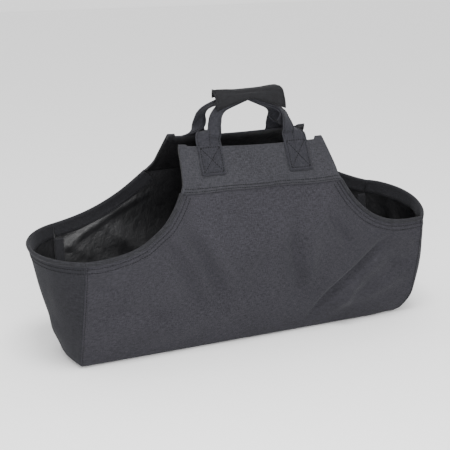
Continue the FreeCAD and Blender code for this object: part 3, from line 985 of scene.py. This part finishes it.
def inner_edge(side, end):
    """The (x, z) of a strap's inner edge: straight up beside the hand opening, round a corner,
    then sloping up to the middle of the grip."""
    foot = np.array([FOOT_X - STRAP_HALF, STRAP_LIFT])
    corner = np.array(STRAP_CORNER[side, end]) * MM
    peak = np.array([0.0, STRAP_PEAK])
    up = foot + (corner - foot) * np.linspace(0, 0.72, 20)[:, None]
    start, stop = up[-1], corner + (peak - corner) * 0.26
    t = np.linspace(0, 1, 24)[1:, None]
    bend = start * (1 - t) ** 2 + 2 * corner * t * (1 - t) + stop * t**2
    t = np.linspace(0, 1, 30)[1:, None]
    slope = stop + (peak - stop) * t
    slope[:, 1] += 1.5 * MM * np.sin(0.5 * math.pi * t[:, 0]) ** 2
    path = np.concatenate([up, bend, slope])
    far = run_along(path)
    run = np.linspace(0, far[-1], FREE_ROWS)
    return np.interp(run, far, path[:, 0]), np.interp(run, far, path[:, 1]), run


def strap_half(side, end):
    """Half a strap as a grid: rows from its sewn foot to the top of the grip, columns from its
    inner edge to its outer one. It leaves the band flat, turns so that its outer edge goes to
    the middle of the grip, and folds along its centre line as it goes."""
    foot_z = np.linspace(FOOT_Z - FOOT_DROP[end], STRAP_LIFT, FOOT_ROWS)[:-1]
    free_x, free_z, run = inner_edge(side, end)
    x = np.concatenate([np.full(len(foot_z), FOOT_X - STRAP_HALF), free_x])
    z = np.concatenate([foot_z, free_z])
    run = np.pad(run, (len(foot_z), 0))
    twist = np.clip((run - TURN_START[side, end]) / (48 * MM), 0, 1) ** 1.6
    folded = smooth((run + 2 * MM) / (36 * MM))
    start_y = TOP_Y + 1.5 * MM
    y = side * (start_y + (STRAP_APART - start_y) * smooth((run - 8 * MM) / (48 * MM)))
    edge = np.stack([end * x, y, z], axis=1)
    along = unit(np.gradient(edge, axis=0))
    turn = 0.5 * math.pi * (1 - twist)
    tilt = STRAP_TILT * smooth((run - 34 * MM) / (30 * MM))
    wide = np.stack([end * np.sin(turn), -side * np.cos(turn) * np.cos(tilt), np.sin(tilt)], axis=1)
    wide = unit(wide - (wide * along).sum(axis=1, keepdims=True) * along)
    behind = np.cross(along, wide) * end * -side
    # the section, integrated from the inner edge through the fold at the centre line
    place = FLAT_COLUMNS * STRAP_HALF
    bend = smooth((place[None, :] + 1.9 * MM) / (3.8 * MM)) * math.pi * 0.98 * folded[:, None]
    step = np.diff(place)[None, :]
    mean = 0.5 * (bend[:, 1:] + bend[:, :-1])
    aside = np.pad(np.cumsum(np.cos(mean) * step, axis=1), ((0, 0), (1, 0)))
    depth = np.pad(np.cumsum(np.sin(mean) * step, axis=1), ((0, 0), (1, 0)))
    # a slight cup across the width where it is free
    depth -= 1.2 * MM * smooth(run / (12 * MM))[:, None] * (1 - FLAT_COLUMNS**2)[None, :]
    free = (edge[:, None, :] + aside[..., None] * wide[:, None, :]
            + depth[..., None] * behind[:, None, :])
    slant = side * FOOT_SLANT * np.clip((SEWN_TOP - z) / (SEWN_TOP - FOOT_Z), 0, 1)
    sewn_x = end * (FOOT_X + place[None, :]) * np.ones((len(run), 1)) + slant[:, None]
    sewn_z = z[:, None] * np.ones((1, len(place)))
    sewn = foot_surface(side, sewn_x, sewn_z, 2.2 * MM)
    loose = smooth((sewn_z - SEWN_TOP) / (14 * MM))[..., None]
    return sewn * (1 - loose) + free * loose


def grid_normals(grid):
    """Unit normals of a grid of points, all to the same side."""
    down, across = np.gradient(grid, axis=0), np.gradient(grid, axis=1)
    return unit(np.cross(down, across))


def on_grid(grid, row, column):
    """Points of a grid at fractional rows and columns."""
    row, column = np.asarray(row, float), np.asarray(column, float)
    r = np.clip(row.astype(int), 0, grid.shape[0] - 2)
    c = np.clip(column.astype(int), 0, grid.shape[1] - 2)
    a, b = (row - r)[:, None], (column - c)[:, None]
    return ((grid[r, c] * (1 - a) + grid[r + 1, c] * a) * (1 - b)
            + (grid[r, c + 1] * (1 - a) + grid[r + 1, c + 1] * a) * b)


def column_at(share):
    return np.interp(share, FLAT_COLUMNS, np.arange(len(FLAT_COLUMNS)))


def strap_lines(grid, normal, routes):
    """Stitch lines over a strap's outer face, each between two (row, share of half width)."""
    lines = []
    for start, stop in routes:
        rows, shares = np.linspace(start, stop, 40).T
        place = (rows, column_at(shares))
        face = on_grid(normal, *place)
        lines.append((on_grid(grid, *place) + face * (STRAP_CLOTH / 2 + 0.05 * MM), face))
    return lines


def make_straps():
    for side, name, hinge in ((FRONT, "front", FRONT_HINGE), (BACK, "back", BACK_HINGE)):
        left, right = strap_half(side, LEFT), strap_half(side, RIGHT)
        grid = np.concatenate([left, right[::-1][1:]])
        made = cloth_object(f"{name}_strap", grid, STRAP)
        thicken(made, STRAP_CLOTH, offset=0.0)
        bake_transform(made)
        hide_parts(f"{name}_handle_strap", f"{name}_left_handle_foot",
                    f"{name}_right_handle_foot")
        for word, half in (("left", left), ("right", right)):
            normal = grid_normals(half)
            if normal[2, 5, 1] * side < 0:
                normal = -normal
            top = FOOT_ROWS - 5.5
            box = [
                [(1.6, -0.8), (1.6, 0.8)], [(top, -0.8), (top, 0.8)],
                [(1.6, -0.8), (top, -0.8)], [(1.6, 0.8), (top, 0.8)],
                [(1.6, -0.8), (top, 0.8)], [(1.6, 0.8), (top, -0.8)],
            ]
            stitched(f"{name}_{word}_foot_stitching", strap_lines(half, normal, box), seed=31,
                     replaces=[f"{name}_foot_stitching"])
            upper = FOOT_ROWS + 0.36 * FREE_ROWS
            edges = [[(top + 1.2, share), (upper, share)] for share in (-0.86, -0.09, 0.86)]
            made = stitched(f"{name}_{word}_strap_stitching",
                            strap_lines(half, normal, edges), body=None, seed=37)
            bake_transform(made)


# ---- the grip's wrap

WRAP_SHIFT = 5.5 * MM
WRAP_HALF = GRIP_HALF - 5.5 * MM
WRAP_CLOTH = 1.4 * MM
WRAP_HALF_WIDTH = grip_high[1] - 3 * MM
WRAP_MIDDLE_LOW = GRIP_TOP - 14.5 * MM
WRAP_END_LOW = grip_low[2] + 3 * MM


def wrap_low(share):
    bent = (np.sqrt((share + 0.06) ** 2 + 0.01) - 0.1) / 0.9
    low = WRAP_MIDDLE_LOW - (WRAP_MIDDLE_LOW - WRAP_END_LOW) * bent
    return low - 1.5 * MM * smooth((share - 0.5) / 0.5)


def wrap_grid(rows=61, columns=81):
    """The wrap as a grid: rows from its front lower edge over the top to its back lower edge.
    It hangs over the straps like a roof, pinched to a ridge at the left and full at the right."""
    grid = np.zeros((rows, columns, 3))
    for k, share in enumerate(np.linspace(-1, 1, columns)):
        low = float(wrap_low(share))
        top = GRIP_TOP + (-1.8 + 0.8 * share + 2.0 * float(bump((share - 0.8) / 0.3))) * MM
        top -= 3.0 * MM * float(smooth((share - 0.88) / 0.12)) ** 2
        pinch = float(smooth((-share - 0.3) / 0.7))
        top += 3.0 * MM * pinch
        full = float(smooth((share - 0.2) / 0.6))
        w = WRAP_HALF_WIDTH - 4 * MM * pinch
        ridge = (0.50 - 0.36 * pinch + 0.12 * full) * w
        drop = top - low
        knots = [
            (-w, low), (-w + 0.4 * MM, low + 0.3 * drop),
            (-w + 0.28 * (w - ridge), low + 0.62 * drop), (-ridge - 1.5 * MM, top - 3.4 * MM),
            (-ridge + 2.4 * MM, top - 0.5 * MM), (0, top),
        ]
        # the back half ends a little higher at the left, where the back strap comes out
        raised = [(-y, z + 14 * MM * pinch * (top - z) / drop) for y, z in reversed(knots[:-1])]
        knots = np.array(knots + raised)
        far = run_along(knots)
        run = np.linspace(0, far[-1], rows)
        y, z = curve_through(far, knots[:, 0], run), curve_through(far, knots[:, 1], run)
        high = smooth((z - low) / drop)
        flare = np.where(share < 0, -1.5 * pinch * high, -2.0 * smooth((share - 0.8) / 0.2) * high)
        grid[:, k, 0] = share * WRAP_HALF + WRAP_SHIFT + flare * MM
        # at the pinched end the back half is a little shorter than the front
        grid[:, k, 0] += 0.35 * np.maximum(y, 0) * pinch
        grid[:, k, 1], grid[:, k, 2] = y, z
    flat = grid.reshape(-1, 3)
    crease = rough(flat * np.array([1.0, 0.8, 1.6]), 0.019, 3.3).reshape(rows, columns)
    grid += grid_normals(grid) * (0.7 * MM * crease)[..., None]
    return grid


def make_wrap():
    grid = wrap_grid()
    normal = grid_normals(grid)
    if normal[2, 40, 1] > 0:
        normal = -normal
    corner = np.cross(grid[1, 0] - grid[0, 0], grid[0, 1] - grid[0, 0])
    inside_out = bool(np.dot(corner, normal[0, 0]) > 0)
    made = cloth_object("grip_wrap", grid, GRIP, REVERSE, flip=inside_out)
    thicken(made, WRAP_CLOTH, inner_slot=1)
    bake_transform(made)
    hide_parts("grip_cover", "grip_flap")
    last_row, last_column = grid.shape[0] - 1.0, grid.shape[1] - 1.0
    rows = np.linspace(2.2, last_row - 2.2, 160)
    columns = np.linspace(2.5, last_column - 2.5, 160)
    routes = [(np.full_like(rows, rows[k]), columns) for k in (0, -1)]
    routes += [(rows, np.full_like(columns, columns[k])) for k in (0, -1)]
    paths = []
    for route in routes:
        out = on_grid(normal, *route)
        paths.append((on_grid(grid, *route) + out * 0.05 * MM, out))
    made = stitched("grip_wrap_stitching", paths, body=None, seed=41)
    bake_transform(made)
    make_tapes(grid, normal)


def make_tapes(grid, normal):
    """The closure's two tapes, on the inner face of the wrap's long edges."""
    half = int(30 * MM / GRIP_HALF * (grid.shape[1] - 1) / 2)
    centre = (grid.shape[1] - 1) // 2 - 3
    for name, node, rows, body in (
        ("hook_tape", "grip_hook_tape", slice(-19, -1), "back_handle"),
        ("loop_tape", "grip_loop_tape", slice(1, 19), "flap"),
    ):
        part = grid[rows, centre - half : centre + half + 1]
        out = normal[rows, centre - half : centre + half + 1]
        places = part - out * (WRAP_CLOTH + 0.7 * MM)
        tape = cloth_object(name, places, PILE)
        thicken(tape, 1.0 * MM, offset=0.0)
        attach(tape, body)
        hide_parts(node)


make_shell()
make_board()
for corner in CORNERS:
    make_wall_hem(*corner)
for end, name in ENDS:
    make_end_hem(end, name)
for corner in CORNERS:
    make_seam(*corner)
for side, name in SIDES:
    make_band(side, f"{name}_band")
make_straps()
make_wrap()


# ---- camera, light and floor


def aimed(name, data, place, ahead):
    """A camera or a lamp at a place, facing along a direction."""
    made = bpy.data.objects.new(name, data)
    made.location = place
    made.rotation_mode = "QUATERNION"
    made.rotation_quaternion = ahead.to_track_quat("-Z", "Y")
    bpy.context.scene.collection.objects.link(made)
    return made


def make_camera():
    data = bpy.data.cameras.new("camera")
    data.sensor_width = 36
    data.lens = 78.9
    turn, tilt, away = math.radians(-24.0), math.radians(17.1), 1.5384
    level = math.cos(tilt)
    back = Vector((math.sin(turn) * level, -math.cos(turn) * level, math.sin(tilt)))
    place = Vector((-0.0311, 0, 0.176)) + back * away
    bpy.context.scene.camera = aimed("camera", data, place, -back)


def area_light(name, place, target, size, power):
    data = bpy.data.lights.new(name, "AREA")
    data.shape = "RECTANGLE"
    data.size, data.size_y = size
    data.energy = power
    aimed(name, data, place, Vector(target) - Vector(place))


def make_studio():
    area_light("key", (-0.36, -1.1, 0.45), (-0.26, 0, 0.12), (0.6, 0.6), 12)
    area_light("fill", (1.9, -1.7, 1.3), (0, 0, 0.15), (1.6, 1.6), 1)
    area_light("top", (-0.22, -0.75, 2.3), (-0.05, 0, 0.1), (0.8, 0.7), 44)
    world = bpy.data.worlds.new("studio")
    world.use_nodes = True
    tree = world.node_tree
    fill(tree, tree.nodes["Background"], {0: (1, 1, 1, 1), 1: 1.45})
    bpy.context.scene.world = world
    places = np.linspace(-6, 6, 13)
    floor = grid_object("floor", np.array([[[x, y, 0.0] for x in places] for y in places]))
    material, tree, shader = new_material("pale_floor")
    fill(tree, shader, {"Base Color": (0.92, 0.92, 0.92, 1), "Roughness": 0.9})
    dress(floor, material)


make_camera()
make_studio()
